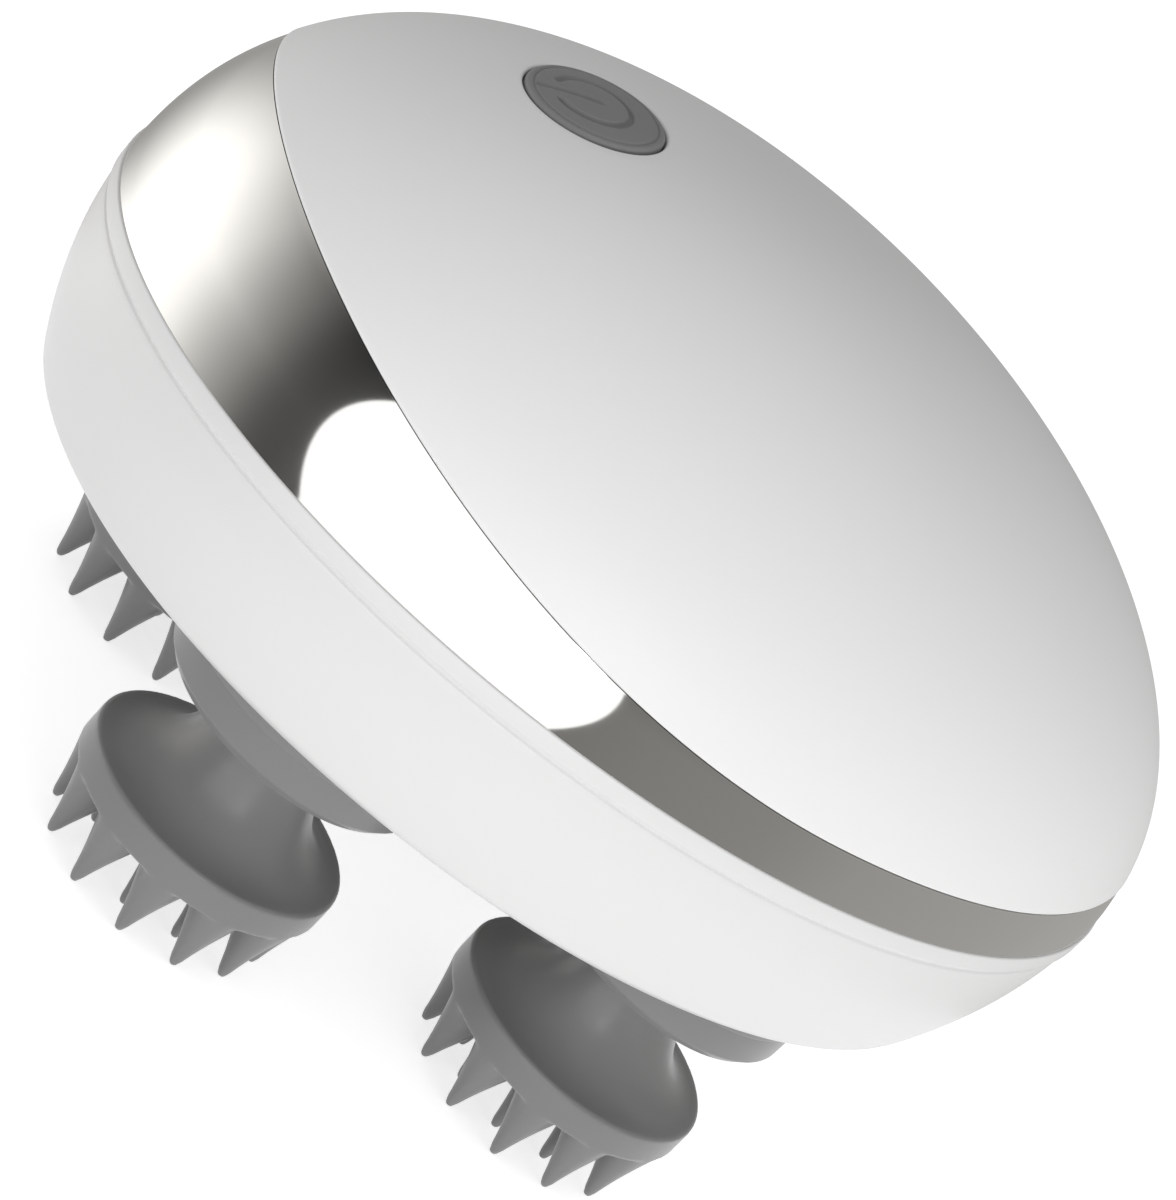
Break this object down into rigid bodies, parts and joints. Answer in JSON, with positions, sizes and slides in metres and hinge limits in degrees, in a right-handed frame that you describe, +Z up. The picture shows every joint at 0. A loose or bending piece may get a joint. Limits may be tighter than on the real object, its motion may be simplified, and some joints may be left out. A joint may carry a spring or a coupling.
{
  "type": "electric scalp massager",
  "caption": "Egg-shaped hand-held scalp massager with a power button and a bright trim band, over geared soft heads with short fingers that turn together.",
  "frame": {"origin": "on the surface that the finger tips rest on, below the middle of the housing", "axes": "+X along the length to the narrow end of the trim band, +Y to the side with the charging socket, +Z up through the cover"},
  "size_m": [0.108, 0.087, 0.0729],
  "materials": {
    "pearl_cover": "satin pearl paint on moulded plastic",
    "chrome_trim": "bright plated plastic",
    "white_shell": "satin moulded white",
    "grey_silicone": "matt soft-touch silicone",
    "button_grey": "matt silicone key",
    "white_rubber": "matt silicone plug",
    "seal_rubber": "matt black",
    "black_plastic": "fine moulded texture",
    "gear_plastic": "natural acetal",
    "steel": "drawn bright steel",
    "bronze": "sintered bronze",
    "cell_wrap": "heat-shrunk sleeve",
    "circuit_board": "solder mask",
    "lead_jacket": "soft insulation"
  },
  "bodies": {
    "housing": {"top_shell": "pearl_cover", "trim_band": "chrome_trim", "lower_shell": "white_shell", "housing_seal": "seal_rubber", "skirt_1": "grey_silicone", "skirt_2": "grey_silicone", "skirt_3": "grey_silicone", "skirt_4": "grey_silicone", "spindle_bush_1": "bronze", "spindle_bush_2": "bronze", "spindle_bush_3": "bronze", "spindle_bush_4": "bronze", "deck": "black_plastic", "sun_axle": "steel", "gearbox": "black_plastic", "motor_can": "steel", "battery_cradle": "black_plastic", "battery_cell": "cell_wrap", "main_board": "circuit_board", "charge_socket": "steel", "battery_lead": "lead_jacket", "motor_lead": "lead_jacket", "button_lead": "lead_jacket", "case_screw_1": "steel", "case_screw_2": "steel", "case_screw_3": "steel", "case_screw_4": "steel", "deck_screw_1": "steel", "deck_screw_2": "steel", "deck_screw_3": "steel", "motor_screw_1": "steel", "motor_screw_2": "steel", "tact_switch": "black_plastic", "button_board": "circuit_board", "button_seal": "seal_rubber"},
    "button": {"power_button": "button_grey"},
    "socket_plug": {"port_cover": "white_rubber"},
    "sun": {"sun_gear": "gear_plastic"},
    "rotor": {"motor_shaft": "steel", "motor_pinion": "bronze"},
    "head_1": {"massage_cup_1": "grey_silicone", "cup_core_1": "black_plastic", "spindle_1": "steel", "output_gear_1": "gear_plastic"},
    "head_2": {"massage_cup_2": "grey_silicone", "cup_core_2": "black_plastic", "spindle_2": "steel", "output_gear_2": "gear_plastic"},
    "head_3": {"massage_cup_3": "grey_silicone", "cup_core_3": "black_plastic", "spindle_3": "steel", "output_gear_3": "gear_plastic"},
    "head_4": {"massage_cup_4": "grey_silicone", "cup_core_4": "black_plastic", "spindle_4": "steel", "output_gear_4": "gear_plastic"}
  },
  "joints": [
    {"name": "sun_spin", "type": "hinge", "parent": "housing", "child": "sun", "pos_m": [0, 0, 0.0298], "axis": [0, 0, 1], "continuous": true},
    {"name": "rotor_spin", "type": "hinge", "parent": "housing", "child": "rotor", "pos_m": [0.02562, 0, 0.0298], "axis": [0, 0, 1], "continuous": true},
    {"name": "head_1_spin", "type": "hinge", "parent": "housing", "child": "head_1", "pos_m": [-0.01943, 0.02033, 0.0298], "axis": [0, 0, 1], "continuous": true},
    {"name": "head_2_spin", "type": "hinge", "parent": "housing", "child": "head_2", "pos_m": [-0.01943, -0.02033, 0.0298], "axis": [0, 0, 1], "continuous": true},
    {"name": "head_3_spin", "type": "hinge", "parent": "housing", "child": "head_3", "pos_m": [0.01943, -0.02033, 0.0298], "axis": [0, 0, 1], "continuous": true},
    {"name": "head_4_spin", "type": "hinge", "parent": "housing", "child": "head_4", "pos_m": [0.01943, 0.02033, 0.0298], "axis": [0, 0, 1], "continuous": true},
    {"name": "button_press", "type": "slide", "parent": "housing", "child": "button", "axis": [0.2555, 0, -0.9668], "range_m": [0, 0.0006], "stiffness_N_per_m": 2500, "springref_m": -0.0004},
    {"name": "plug_pull", "type": "slide", "parent": "housing", "child": "socket_plug", "axis": [0, 1, 0], "range_m": [0, 0.008]}
  ],
  "couplings": [
    {"joint": "rotor_spin", "follows": "sun_spin", "ratio": -2.7273},
    {"joint": "head_1_spin", "follows": "sun_spin", "ratio": -2},
    {"joint": "head_2_spin", "follows": "sun_spin", "ratio": -2},
    {"joint": "head_3_spin", "follows": "sun_spin", "ratio": -2},
    {"joint": "head_4_spin", "follows": "sun_spin", "ratio": -2}
  ]
}
